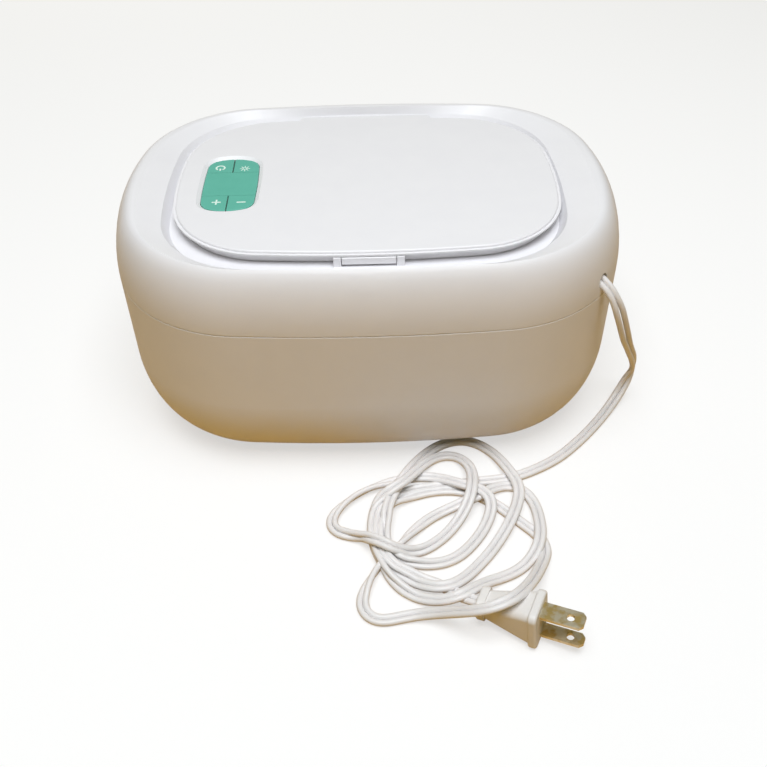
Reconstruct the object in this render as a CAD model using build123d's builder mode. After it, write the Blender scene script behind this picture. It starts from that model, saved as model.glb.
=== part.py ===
from build123d import *

import math
import os

# Baby wipe warmer: an oval tub under a dished top cover, a hinged lid with the
# heater and a four-key control pad, and a flat twin cord with its plug.
#
# Frame: millimetres, +Z up, X along the length, the lid opens from the front
# (-Y), and the origin is the centre of the footprint on the table.

os.makedirs("parts", exist_ok=True)

# ---------------------------------------------------------------- driving sizes

LENGTH = 240.0            # case, left to right
WIDTH = 168.0             # case, front to back
HEIGHT = 115.0            # table to the crest of the top cover
CROWN_RISE = 30.5         # seam between tub and cover, up to the crest

CASE_SIDE_R = 730.0       # plan radii of the case: long sides,
CASE_CORNER_R = 64.0      # corners
CASE_END_R = 150.0        # and ends

FOOT_HEIGHT = 1.5         # air under the tub
CASE_WALL = 2.5
BASE_ROUND_IN = 24.5      # the tub's lower edge is a quarter ellipse:
BASE_ROUND_RISE = 40.0    # this far in and this high
CROWN_ROUND_IN = 11.4     # the cover's shoulder is one too, up from the seam
SEAM_ROUND = 0.5          # softened edges that draw the seam line
CREST_ROUND = 2.5         # softened crest of the cover

FIT = 0.3                 # air between neighbours that move
SNUG = 0.15               # air between a key and what it slides past

# Tongue of the tub inside the cover
TONGUE_WALL = 1.1
TONGUE_RISE = 3.0

# Liner tray
TRAY_CLEAR = 1.2          # tub wall to tray wall
TRAY_WALL = 1.6
TRAY_LEDGE = 3.0          # ledge that the tray's floor panel is welded to
TRAY_LEDGE_THICK = 0.7
TRAY_BOTTOM_Z = 6.5
TRAY_TOP_BELOW = 6.5      # its rim under the case's seam
TRAY_RIM = 1.6            # thickness of its rim
LEDGE_HEIGHT = 2.5        # ledge in the tub that carries the rim

# Feet
FOOT_R = 7.0
FOOT_PLUG = 1.2           # how far a foot is let into the tub
FOOT_FROM_END = 52.0      # feet in from the case's ends
FOOT_FROM_SIDE = 48.0     # and from its sides

# Dish and well in the top cover
CREST_FROM_END = 14.0     # crest in from the case's ends
CREST_FROM_SIDE = 11.0    # and from its sides
CREST_SIDE_R = 1600.0
CREST_CORNER_R = 50.6
CREST_END_R = 170.0
CREST_Y = -3.0
WELL_FROM_END = 27.2      # edge of the well, likewise
WELL_FROM_SIDE = 13.0
WELL_SIDE_R = 520.0
WELL_CORNER_R = 43.8
WELL_END_R = 288.0
WELL_X = -1.5
WELL_Y = -2.0
WELL_DROP = 3.5           # crest down to the edge of the well
WELL_SLOPE_IN = 3.2       # the well's wall leans in by this much
WELL_EDGE_ROUND = 0.8
FLOOR_DEPTH = 7.7         # crest down to the floor of the well
FLOOR_THICK = 2.8
MOUTH_FROM_END = 48.0     # opening that the wipes come out of
MOUTH_FROM_SIDE = 39.0
CROWN_WALL = 5.5          # thickness of the cover under its crest

# Lid
LID_FROM_END = 30.5       # lid in from the case's ends
LID_FROM_SIDE = 21.3      # and from its sides
LID_SIDE_R = 545.0
LID_CORNER_R = 43.6
LID_END_R = 200.0
LID_Y = -1.3
LID_BELOW = 1.1           # crest down to the lid's top
LID_STEP = 1.1            # plateau down to the lip
LIP_THICK = 0.8
LIP_WIDTH = 1.2
SKIRT_IN = 3.3            # skirt set back from the lip
SKIRT_WALL = 2.2
LID_SKIN = 2.2            # thickness of the lid's top

# Hinge at the back
HINGE_BEHIND = 1.6        # hinge's axis behind the lid's back edge
HINGE_RISE = 3.1          # and over the floor of the well
HINGE_PIN_R = 0.8
HINGE_BORE_CLEAR = 0.05
KNUCKLE_R = 1.6
POST_R = 1.3              # posts are slimmer, so the lid's tongue clears them
KNUCKLE_LENGTH = 43.6
POST_LENGTH = 8.0
TAB_LENGTH = 68.0         # tongue of the lid over the hinge
TAB_BEHIND = 1.4          # its back edge behind the hinge's axis
TAB_CORNER_R = 3.0

# Latch at the front: two ears on the cover, a push button in the lid
EAR_INNER_X = 11.9
EAR_WIDTH = 3.3
EAR_DEPTH = 3.2
EAR_AHEAD = 0.6           # ears' fronts ahead of the lid's front edge
BUTTON_THICK = 1.8
BUTTON_FOOT_GAP = 1.0     # button's lower edge over the well's floor
BUTTON_TRAVEL = 1.2
BUTTON_STEM_WIDTH = 12.0
BUTTON_STEM_RISE = (2.2, 3.8)   # over the floor of the well, from and to
BUTTON_HEAD_THICK = 1.2   # stop plate behind the skirt
BUTTON_HEAD_WIDTH = 18.0
BUTTON_HEAD_RISE = (1.9, 4.1)

# Control pad, in plan
PAD_FROM_END = 25.4       # pad's centre in from the lid's left end
PAD_Y = -3.1
PAD_WIDTH = 25.2
PAD_DEPTH = 47.0
PAD_SIDE_R = 300.0
PAD_CORNER_R = 7.0
PAD_END_R = 22.0
PAD_THICK = 2.0
PAD_SINK = 0.8            # pad's face below the lid's top
PAD_WINDOW_CLEAR = 0.25
PAD_FLARE = 1.8           # width of the dip around the pad
PAD_FLARE_DROP = 1.2
PAD_FLANGE = 1.5          # flange that holds the centre band from below
KEY_FLANGE = 1.0          # and the one that holds each key
KEY_FLANGE_THICK = 0.45
KEY_DEPTH = 13.0
KEY_SLIT = 0.6            # slit between the two keys of a row
PAD_EDGE_ROUND = 0.4

# Inner cover, heater and electronics of the lid
INNER_CLEAR = 0.3
INNER_FLANGE = 1.2
CUP_CLEAR = 5.0           # cup inside the mouth
CUP_SIDE_R = 420.0
CUP_CORNER_R = 26.0
CUP_END_R = 120.0
CUP_DEPTH = 9.3           # cup's bottom under the floor of the well
CUP_WALL = 1.6
PLATE_THICK = 1.5
PLATE_IN = 7.0            # heat plate set in from the cup's outline
FILM_THICK = 0.6
FOAM_THICK = 4.0
FILM_IN = 4.0
GASKET_OUT = (0.8, 2.6)   # gasket outside the mouth's edge, from and to
GASKET_RISE = (0.15, 0.9) # over the floor of the well
BOARD_WIDTH = 30.0
BOARD_DEPTH = 50.0
BOARD_THICK = 1.0
SWITCH_SIZE = 4.2
SWITCH_HEIGHT = 0.7
SWITCH_X = 6.0            # switches from the pad's centre
SWITCH_Y = 17.8
LID_SCREW_R = 1.25
LID_SCREW_HEAD_R = 2.4
LID_SCREW_HEAD = 1.0
LID_SCREW_X = 40.0
LID_SCREW_FROM_SIDE = 10.7
LID_BOSS_R = 2.75

# Cord outlet in the cover
OUTLET_ANGLE = -39.0      # seen from above, about the case's corner centre
OUTLET_RISE = 7.5         # over the seam
OUTLET_R = 3.5
CORD_R = 2.0
CLAMP_LENGTH = 3.6
CLAMP_WIDTH = 13.0
CLAMP_FROM_WALL = 8.3     # its inner end in from the case's outside
CLAMP_RISE = (-2.5, 5.0)  # from the outlet's height, from and to
CLAMP_SCREW_R = 0.9
CLAMP_SCREW_HEAD_R = 1.8
CLAMP_SCREW_HEAD = 1.2
CLAMP_SCREW_SIDE = 4.6    # screws either side of the cord
CLAMP_SCREW_LENGTH = 12.0
CLAMP_BOSS_R = 2.0
CLAMP_BOSS_BELOW = 8.5    # bosses' tops under the crest
TERMINAL_SIZE = (9.0, 18.0, 8.0)
TERMINAL_AT = 30.0        # from the case's corner centre

# Route of the lead, from the clamp inside the cover, out of the outlet, down
# to the table and along it to the loops
LEAD_ROUTE = [
    (97.4, -52.9, 94.8),
    (104.3, -58.4, 91.4),
    (109.6, -61.9, 84.2),
    (113.9, -61.6, 73.8),
    (119.3, -57.0, 59.0),
    (125.6, -49.2, 44.2),
    (131.4, -41.4, 31.6),
    (134.0, -37.0, 22.4),
    (132.6, -36.6, 13.2),
    (128.2, -40.6, 5.8),
    (121.6, -48.2, 2.3),
    (113.8, -57.6, 2.0),
    (103.6, -68.8, 2.0),
    (90.5, -80.8, 2.0),
    (77.0, -88.4, 2.0),
    (66.6, -92.4, 2.4),
]
BEND_SHARE = 0.45         # share of a run that each bend may take up

# Loops of the cord, lying loose in front of the case: the outer shape of the
# lower turns and of the turns lying over them
LOOPS_LOW = [
    (-21.5, -117.0),
    (-12.0, -105.0),
    (8.0, -91.5),
    (21.0, -81.0),
    (32.0, -71.5),
    (46.0, -68.5),
    (57.0, -72.5),
    (64.0, -80.5),
    (71.0, -95.0),
    (77.0, -108.0),
    (79.0, -127.0),
    (76.0, -144.0),
    (64.0, -159.0),
    (47.0, -167.0),
    (22.0, -170.0),
    (1.0, -171.5),
    (-8.0, -165.0),
    (-7.0, -154.0),
    (1.0, -141.0),
    (0.0, -130.0),
    (-16.0, -125.0),
]
LOOPS_HIGH = [
    (-4.0, -118.0),
    (8.0, -101.0),
    (21.0, -92.0),
    (35.0, -79.0),
    (47.0, -79.0),
    (62.0, -93.0),
    (70.0, -108.0),
    (70.0, -126.0),
    (60.0, -142.0),
    (40.0, -152.0),
    (16.0, -154.0),
    (4.0, -140.0),
]
LOOPS_LOW_TOP_Z = 4.4
LOOPS_TOP_Z = 9.0
LOOPS_CORNER_R = 4.0

# Plug: two flat blades, one wider than the other
PLUG_FACE = (66.4, -177.6, 10.9)
PLUG_TURN = -26.0         # heading of the blades, seen from above
PLUG_TILT = 7.0           # blades raised by this much
FLANGE_TALL = 20.6
FLANGE_DEEP = 17.4
FLANGE_THICK = 3.8
FLANGE_CORNER_R = 3.0
FLANGE_ROUND = 1.2
BODY_TALL = 18.6          # body behind the flange
BODY_DEEP = 15.4
NECK_TALL = 9.6           # body ahead of the collar
NECK_DEEP = 10.4
NECK_LENGTH = 19.4
COLLAR_LENGTH = 3.8
COLLAR_OVER = 0.9
BLADE_SPACING = 12.7
BLADE_LENGTH = 17.5
BLADE_THICK = 1.5
BLADE_WIDE = 7.9
BLADE_NARROW = 6.35
BLADE_SUNK = 6.0          # root of each blade in the plug
BLADE_HOLE_R = 1.6
BLADE_HOLE_AT = 11.8      # from the plug's face
BLADE_TIP = 1.6           # chamfer of the blades' tips

# ------------------------------------------------------------- derived measures

SEAM_Z = HEIGHT - CROWN_RISE
FLOOR_Z = HEIGHT - FLOOR_DEPTH
LID_TOP_Z = HEIGHT - LID_BELOW
TRAY_TOP_Z = SEAM_Z - TRAY_TOP_BELOW
OUTLET_Z = SEAM_Z + OUTLET_RISE
CUP_BOTTOM_Z = FLOOR_Z - CUP_DEPTH
HINGE_Z = FLOOR_Z + HINGE_RISE

CASE = (LENGTH / 2, WIDTH / 2, CASE_SIDE_R, CASE_CORNER_R, CASE_END_R)


def half_sizes(from_end, from_side):
    """Half length and half width of an oval set in from the case's outline."""
    return LENGTH / 2 - from_end, WIDTH / 2 - from_side


CREST = (*half_sizes(CREST_FROM_END, CREST_FROM_SIDE), CREST_SIDE_R, CREST_CORNER_R, CREST_END_R)
WELL = (*half_sizes(WELL_FROM_END, WELL_FROM_SIDE), WELL_SIDE_R, WELL_CORNER_R, WELL_END_R)
MOUTH = (*half_sizes(MOUTH_FROM_END, MOUTH_FROM_SIDE), CUP_SIDE_R, CUP_CORNER_R, CUP_END_R)
CUP = (
    *half_sizes(MOUTH_FROM_END + CUP_CLEAR, MOUTH_FROM_SIDE + CUP_CLEAR),
    CUP_SIDE_R,
    CUP_CORNER_R,
    CUP_END_R,
)
LID = (*half_sizes(LID_FROM_END, LID_FROM_SIDE), LID_SIDE_R, LID_CORNER_R, LID_END_R)
LID_FRONT_Y = LID_Y - LID[1]
HINGE_Y = LID_Y + LID[1] + HINGE_BEHIND
TAB_BACK_Y = HINGE_Y + TAB_BEHIND
EAR_FRONT_Y = LID_FRONT_Y - EAR_AHEAD
PAD_X = PAD_FROM_END - LID[0]
PAD = (PAD_DEPTH / 2, PAD_WIDTH / 2, PAD_SIDE_R, PAD_CORNER_R, PAD_END_R)

WELL_EDGE_Z = HEIGHT - WELL_DROP
FLOOR_UNDER_Z = FLOOR_Z - FLOOR_THICK
LIP_TOP_Z = LID_TOP_Z - LID_STEP
LIP_UNDER_Z = LIP_TOP_Z - LIP_THICK
LID_UNDER_Z = LID_TOP_Z - LID_SKIN
SKIRT_BOTTOM_Z = FLOOR_Z + FIT
INNER_TOP_Z = SKIRT_BOTTOM_Z + INNER_FLANGE
PAD_TOP_Z = LID_TOP_Z - PAD_SINK
PAD_UNDER_Z = PAD_TOP_Z - PAD_THICK


# ------------------------------------------------------------------- functions


def oval_corner(a, b, side_r, corner_r, end_r):
    """Centre of an oval's corner arc, and the directions in which it starts and ends."""
    side_y = b - side_r
    end_x = a - end_r
    apart = math.hypot(end_x, side_y)
    along = ((side_r - corner_r) ** 2 - (end_r - corner_r) ** 2 + apart**2) / (2 * apart)
    across = math.sqrt((side_r - corner_r) ** 2 - along**2)
    x = (along * end_x - across * side_y) / apart
    y = side_y - (across * end_x + along * side_y) / apart
    steep = math.degrees(math.atan2(y - side_y, x))
    flat = math.degrees(math.atan2(y, x - end_x))
    return x, y, steep, flat


def oval(size, inset=0.0, centre=(0.0, 0.0), turned=False):
    """Draw a closed oval of tangent arcs: two sides, four corners and two ends.

    The arcs keep their centres at every inset, so insets are true offsets. A
    turned oval has its long way front to back.
    """
    a, b, side_r, corner_r, end_r = size
    x, y, steep, flat = oval_corner(*size)
    cx, cy = centre
    turn = 90 if turned else 0

    def arc(dx, dy, radius, start, sweep_angle):
        px, py = (-dy, dx) if turned else (dx, dy)
        CenterArc((cx + px, cy + py), radius - inset, start + turn, sweep_angle)

    arc(a - end_r, 0, end_r, 0, flat)
    arc(x, y, corner_r, flat, steep - flat)
    arc(0, b - side_r, side_r, steep, 180 - 2 * steep)
    arc(-x, y, corner_r, 180 - steep, steep - flat)
    arc(end_r - a, 0, end_r, 180 - flat, 2 * flat)
    arc(-x, -y, corner_r, 180 + flat, steep - flat)
    arc(0, side_r - b, side_r, 180 + steep, 180 - 2 * steep)
    arc(x, -y, corner_r, -steep, steep - flat)
    arc(a - end_r, 0, end_r, -flat, flat)


def oval_face(z, size, inset=0.0, centre=(0.0, 0.0), turned=False):
    """A flat face with an oval's outline at height z."""
    with BuildSketch(Plane.XY.offset(z), mode=Mode.PRIVATE) as face:
        with BuildLine():
            oval(size, inset, centre, turned)
        make_face()
    return face.sketch


def oval_block(low, high, size, inset=0.0, centre=(0.0, 0.0), turned=False, mode=Mode.ADD):
    """An upright oval block between two heights."""
    extrude(oval_face(low, size, inset, centre, turned), amount=high - low, mode=mode)


def oval_ring(low, high, size, outer, inner, centre=(0.0, 0.0)):
    """An upright oval ring between two insets of one outline."""
    extrude(
        oval_face(low, size, outer, centre) - oval_face(low, size, inner, centre),
        amount=high - low,
    )


def round_lower_edge(size, inset, across, rise, low):
    """Cut a quarter-ellipse rounding along the lower edge of an oval block."""
    edge_x = size[0] - inset
    with BuildLine(Plane.XY.offset(low)) as path:
        oval(size, inset)
    with BuildSketch(Plane.XZ) as corner:
        with BuildLine():
            EllipticalCenterArc((edge_x - across, low + rise), across, rise, 270, arc_size=90)
            Polyline(
                (edge_x, low + rise),
                (edge_x + 1, low + rise),
                (edge_x + 1, low - 1),
                (edge_x - across, low - 1),
                (edge_x - across, low),
            )
        make_face()
    sweep(corner.sketch, path=path.wires()[0], mode=Mode.SUBTRACT)


def round_upper_edge(size, inset, across, rise, high):
    """Cut a quarter-ellipse rounding along the upper edge of an oval block."""
    edge_x = size[0] - inset
    with BuildLine(Plane.XY.offset(high)) as path:
        oval(size, inset)
    with BuildSketch(Plane.XZ) as corner:
        with BuildLine():
            EllipticalCenterArc((edge_x - across, high - rise), across, rise, 0, arc_size=90)
            Polyline(
                (edge_x - across, high),
                (edge_x - across, high + 1),
                (edge_x + 1, high + 1),
                (edge_x + 1, high - rise),
                (edge_x, high - rise),
            )
        make_face()
    sweep(corner.sketch, path=path.wires()[0], mode=Mode.SUBTRACT)


def block(x, y, z, mode=Mode.ADD):
    """A box between pairs of limits along each axis."""
    with Locations((sum(x) / 2, sum(y) / 2, sum(z) / 2)):
        Box(x[1] - x[0], y[1] - y[0], z[1] - z[0], mode=mode)


def cylinder_x(x, y, z, radius, mode=Mode.ADD):
    """A cylinder along X between two limits."""
    with Locations(Location((sum(x) / 2, y, z), (0, 90, 0))):
        Cylinder(radius, x[1] - x[0], mode=mode)


def save(name, built):
    """Label a finished piece and write its STEP file."""
    built.part.label = name
    export_step(built.part, f"parts/{name}.step")


# --------------------------------------------------------------------- the tub

feet = [
    (side + "_" + end, x, y)
    for side, y in (("front", FOOT_FROM_SIDE - WIDTH / 2), ("rear", WIDTH / 2 - FOOT_FROM_SIDE))
    for end, x in (("left", FOOT_FROM_END - LENGTH / 2), ("right", LENGTH / 2 - FOOT_FROM_END))
]

tray_inset = CASE_WALL + TRAY_CLEAR
ledge_top_z = TRAY_TOP_Z - TRAY_RIM

with BuildPart() as tub_hollow:
    oval_block(FOOT_HEIGHT + CASE_WALL, SEAM_Z + TONGUE_RISE, CASE, CASE_WALL)
    round_lower_edge(
        CASE,
        CASE_WALL,
        BASE_ROUND_IN - CASE_WALL,
        BASE_ROUND_RISE - CASE_WALL,
        FOOT_HEIGHT + CASE_WALL,
    )

with BuildPart() as base_tub:
    oval_block(FOOT_HEIGHT, SEAM_Z, CASE)
    round_lower_edge(CASE, 0, BASE_ROUND_IN, BASE_ROUND_RISE, FOOT_HEIGHT)
    fillet(base_tub.faces().sort_by(Axis.Z)[-1].outer_wire().edges(), SEAM_ROUND)
    oval_block(SEAM_Z - 1, SEAM_Z + TONGUE_RISE, CASE, CASE_WALL - TONGUE_WALL)
    add(tub_hollow.part, mode=Mode.SUBTRACT)
    # Ledge that the tray's rim sits on
    oval_ring(
        ledge_top_z - LEDGE_HEIGHT, ledge_top_z, CASE, CASE_WALL - 0.5, tray_inset - FIT
    )
    # Sockets for the feet
    for _, x, y in feet:
        with Locations((x, y, FOOT_HEIGHT + FOOT_PLUG / 2)):
            Cylinder(FOOT_R, FOOT_PLUG, mode=Mode.SUBTRACT)
save("base_tub", base_tub)

# -------------------------------------------------------------------- the feet

for name, x, y in feet:
    with BuildPart() as foot:
        with Locations((x, y, 0)):
            Cylinder(FOOT_R, FOOT_HEIGHT + FOOT_PLUG, align=(Align.CENTER, Align.CENTER, Align.MIN))
        fillet(foot.edges().group_by(Axis.Z)[0], SEAM_ROUND)
    save("foot_" + name, foot)

# ------------------------------------------------------------------- the tray

with BuildPart() as tray_hollow:
    oval_block(TRAY_BOTTOM_Z + TRAY_WALL, TRAY_TOP_Z + 1, CASE, tray_inset + TRAY_WALL)
    round_lower_edge(
        CASE,
        tray_inset + TRAY_WALL,
        BASE_ROUND_IN - tray_inset - TRAY_WALL,
        BASE_ROUND_RISE - tray_inset - TRAY_WALL,
        TRAY_BOTTOM_Z + TRAY_WALL,
    )

with BuildPart() as wipe_tray:
    oval_block(TRAY_BOTTOM_Z, TRAY_TOP_Z, CASE, tray_inset)
    round_lower_edge(
        CASE,
        tray_inset,
        BASE_ROUND_IN - tray_inset,
        BASE_ROUND_RISE - tray_inset,
        TRAY_BOTTOM_Z,
    )
    oval_block(ledge_top_z, TRAY_TOP_Z, CASE, CASE_WALL + FIT)
    add(tray_hollow.part, mode=Mode.SUBTRACT)
    # Opening for the floor panel, with the ledge under its edge
    extrude(
        oval_face(TRAY_BOTTOM_Z + TRAY_LEDGE_THICK, CASE, BASE_ROUND_IN),
        amount=TRAY_WALL,
        mode=Mode.SUBTRACT,
    )
    extrude(
        oval_face(TRAY_BOTTOM_Z - 1, CASE, BASE_ROUND_IN + TRAY_LEDGE),
        amount=TRAY_WALL + 2,
        mode=Mode.SUBTRACT,
    )
save("wipe_tray", wipe_tray)

with BuildPart() as tray_floor:
    extrude(
        oval_face(TRAY_BOTTOM_Z + TRAY_LEDGE_THICK, CASE, BASE_ROUND_IN + SNUG),
        amount=TRAY_WALL - TRAY_LEDGE_THICK,
    )
save("tray_floor", tray_floor)

# --------------------------------------------------------------- the top cover

corner_x, corner_y, _, _ = oval_corner(*CASE)
outlet_dir = Vector(1, 0, 0).rotate(Axis.Z, OUTLET_ANGLE)
outlet_centre = Vector(corner_x, -corner_y, OUTLET_Z)
# The shoulder has already drawn in a little at the outlet's height
shoulder_share = (OUTLET_Z - SEAM_Z) / CROWN_RISE
outlet_inset = CROWN_ROUND_IN * (1 - math.sqrt(1 - shoulder_share**2))
outlet_face = outlet_centre + outlet_dir * (CASE_CORNER_R - outlet_inset)

clamp_frame = Plane(
    origin=outlet_centre + outlet_dir * (CASE_CORNER_R - CLAMP_FROM_WALL),
    x_dir=outlet_dir,
    z_dir=(0, 0, 1),
)
clamp_screws = [(CLAMP_LENGTH / 2, side * CLAMP_SCREW_SIDE) for side in (-1, 1)]
post_x = (KNUCKLE_LENGTH / 2 + FIT, KNUCKLE_LENGTH / 2 + FIT + POST_LENGTH)
ear_x = (EAR_INNER_X, EAR_INNER_X + EAR_WIDTH)
crown_hollow_rise = CROWN_RISE - CROWN_WALL

# Hollow under the crown, less the walls of the well
with BuildPart() as crown_hollow:
    oval_block(SEAM_Z - 1, SEAM_Z + crown_hollow_rise, CASE, CASE_WALL)
    round_upper_edge(
        CASE,
        CASE_WALL,
        CROWN_ROUND_IN - CASE_WALL,
        crown_hollow_rise,
        SEAM_Z + crown_hollow_rise,
    )
    oval_block(
        FLOOR_UNDER_Z,
        HEIGHT,
        WELL,
        -CASE_WALL,
        (WELL_X, WELL_Y),
        mode=Mode.SUBTRACT,
    )

with BuildPart() as top_cover:
    oval_block(SEAM_Z, HEIGHT, CASE)
    round_upper_edge(CASE, 0, CROWN_ROUND_IN, CROWN_RISE, HEIGHT)
    fillet(top_cover.faces().sort_by(Axis.Z)[0].outer_wire().edges(), SEAM_ROUND)
    # Dish from the crest down to the well, then the well itself
    loft(
        [
            oval_face(HEIGHT + 0.2, CREST, -0.7, (0, CREST_Y)),
            oval_face(WELL_EDGE_Z, WELL, 0, (WELL_X, WELL_Y)),
        ],
        ruled=True,
        mode=Mode.SUBTRACT,
    )
    loft(
        [
            oval_face(WELL_EDGE_Z, WELL, 0, (WELL_X, WELL_Y)),
            oval_face(FLOOR_Z, WELL, WELL_SLOPE_IN, (WELL_X, WELL_Y)),
        ],
        ruled=True,
        mode=Mode.SUBTRACT,
    )
    add(crown_hollow.part, mode=Mode.SUBTRACT)
    # Room for the tub's tongue
    extrude(
        oval_face(SEAM_Z, CASE, CASE_WALL - TONGUE_WALL - SNUG),
        amount=TONGUE_RISE + FIT,
        mode=Mode.SUBTRACT,
    )
    oval_block(FLOOR_UNDER_Z - 1, FLOOR_Z + 1, MOUTH, 0, (0, LID_Y), mode=Mode.SUBTRACT)
    # Hinge posts and latch ears
    for side in (-1, 1):
        x = sorted((side * post_x[0], side * post_x[1]))
        cylinder_x(x, HINGE_Y, HINGE_Z, POST_R)
        block(x, (HINGE_Y - POST_R, HINGE_Y + POST_R), (FLOOR_Z - 1, HINGE_Z))
        x = sorted((side * ear_x[0], side * ear_x[1]))
        block(x, (EAR_FRONT_Y, EAR_FRONT_Y + EAR_DEPTH), (FLOOR_Z - 1, LIP_UNDER_Z - FIT))
    cylinder_x((-post_x[1], post_x[1]), HINGE_Y, HINGE_Z, HINGE_PIN_R, mode=Mode.SUBTRACT)
    # Round outlet for the cord, and bosses for its clamp
    with BuildSketch(Plane(origin=outlet_face, z_dir=outlet_dir)):
        Circle(OUTLET_R)
    extrude(amount=2 * CASE_WALL, both=True, mode=Mode.SUBTRACT)
    with BuildSketch(clamp_frame.offset(CLAMP_RISE[1])):
        with Locations(*clamp_screws):
            Circle(CLAMP_BOSS_R)
    extrude(amount=HEIGHT - CLAMP_BOSS_BELOW - OUTLET_Z - CLAMP_RISE[1])
    with BuildSketch(clamp_frame.offset(CLAMP_RISE[1])):
        with Locations(*clamp_screws):
            Circle(CLAMP_SCREW_R)
    extrude(amount=CLAMP_SCREW_LENGTH + CLAMP_RISE[0] - CLAMP_RISE[1], mode=Mode.SUBTRACT)
save("top_cover", top_cover)

# ------------------------------------------------------------------- hinge pin

with BuildPart() as hinge_pin:
    cylinder_x((-post_x[1], post_x[1]), HINGE_Y, HINGE_Z, HINGE_PIN_R)
save("hinge_pin", hinge_pin)

# ------------------------------------------------------------------ lid shell

lid_at = (0, LID_Y)
pad_at = (PAD_X, PAD_Y)
skirt_inner = SKIRT_IN + SKIRT_WALL
lid_screw_y = LID[1] - LID_SCREW_FROM_SIDE
lid_screws = [
    (x, LID_Y + y) for x in (-LID_SCREW_X, LID_SCREW_X) for y in (-lid_screw_y, lid_screw_y)
]
stem_z = [FLOOR_Z + rise for rise in BUTTON_STEM_RISE]
head_z = [FLOOR_Z + rise for rise in BUTTON_HEAD_RISE]
gasket_z = [FLOOR_Z + rise for rise in GASKET_RISE]
knuckle_x = (-KNUCKLE_LENGTH / 2, KNUCKLE_LENGTH / 2)
tab_front_y = LID_Y + LID[1] - 2 * SKIRT_IN

with BuildPart() as lid_shell:
    oval_block(LIP_UNDER_Z, LIP_TOP_Z, LID, 0, lid_at)
    # Tongue of the lip over the hinge
    with BuildSketch(Plane.XY.offset(LIP_UNDER_Z)) as tab:
        with Locations((0, (tab_front_y + TAB_BACK_Y) / 2)):
            Rectangle(TAB_LENGTH, TAB_BACK_Y - tab_front_y)
        fillet(tab.vertices().group_by(Axis.Y)[-1], TAB_CORNER_R)
    extrude(amount=LIP_THICK)
    oval_block(LIP_TOP_Z, LID_TOP_Z, LID, LIP_WIDTH, lid_at)
    fillet(lid_shell.faces().sort_by(Axis.Z)[-1].outer_wire().edges(), 0.9 * LID_STEP)
    # Skirt
    oval_block(SKIRT_BOTTOM_Z, LIP_UNDER_Z, LID, SKIRT_IN, lid_at)
    oval_block(SKIRT_BOTTOM_Z, LID_UNDER_Z, LID, skirt_inner, lid_at, mode=Mode.SUBTRACT)
    # Hinge knuckle, hung from the tongue
    cylinder_x(knuckle_x, HINGE_Y, HINGE_Z, KNUCKLE_R)
    block(knuckle_x, (HINGE_Y - KNUCKLE_R, TAB_BACK_Y), (HINGE_Z, LIP_UNDER_Z))
    cylinder_x(
        (-TAB_LENGTH, TAB_LENGTH),
        HINGE_Y,
        HINGE_Z,
        HINGE_PIN_R + HINGE_BORE_CLEAR,
        mode=Mode.SUBTRACT,
    )
    # Bosses for the screws
    with BuildSketch(Plane.XY.offset(INNER_TOP_Z)):
        with Locations(*lid_screws):
            Circle(LID_BOSS_R)
    extrude(amount=LID_UNDER_Z - INNER_TOP_Z)
    with BuildSketch(Plane.XY.offset(INNER_TOP_Z)):
        with Locations(*lid_screws):
            Circle(LID_SCREW_R)
    extrude(amount=LID_UNDER_Z - INNER_TOP_Z, mode=Mode.SUBTRACT)
    # Window for the control pad, with the dip around it
    oval_block(
        LID_UNDER_Z - 1, LID_TOP_Z, PAD, -PAD_WINDOW_CLEAR, pad_at, turned=True, mode=Mode.SUBTRACT
    )
    loft(
        [
            oval_face(LID_TOP_Z - PAD_FLARE_DROP, PAD, -PAD_WINDOW_CLEAR, pad_at, turned=True),
            oval_face(LID_TOP_Z, PAD, -PAD_WINDOW_CLEAR - PAD_FLARE, pad_at, turned=True),
        ],
        ruled=True,
        mode=Mode.SUBTRACT,
    )
    # Window for the stem of the latch button
    skirt_front_y = LID_FRONT_Y + SKIRT_IN
    block(
        (-BUTTON_STEM_WIDTH / 2 - FIT, BUTTON_STEM_WIDTH / 2 + FIT),
        (skirt_front_y - 1, skirt_front_y + SKIRT_WALL + 0.6),
        (stem_z[0] - SNUG, stem_z[1] + SNUG),
        mode=Mode.SUBTRACT,
    )
save("lid_shell", lid_shell)

# ---------------------------------------------------------------- latch button

skirt_back_y = skirt_front_y + SKIRT_WALL
button_x = EAR_INNER_X - FIT
button_y = (EAR_FRONT_Y + 0.1, EAR_FRONT_Y + 0.1 + BUTTON_THICK)
head_y = (skirt_back_y + SNUG, skirt_back_y + SNUG + BUTTON_HEAD_THICK)

with BuildPart() as latch_button:
    block((-button_x, button_x), button_y, (FLOOR_Z + BUTTON_FOOT_GAP, LIP_UNDER_Z - FIT))
    fillet(latch_button.faces().sort_by(Axis.Y)[0].outer_wire().edges(), 0.4)
    block(
        (-BUTTON_STEM_WIDTH / 2, BUTTON_STEM_WIDTH / 2),
        (button_y[1] - 0.5, head_y[0] + 0.5),
        stem_z,
    )
    block((-BUTTON_HEAD_WIDTH / 2, BUTTON_HEAD_WIDTH / 2), head_y, head_z)
save("latch_button", latch_button)

# ----------------------------------------------------- inner cover of the lid

inner_inset = skirt_inner + INNER_CLEAR

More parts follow.
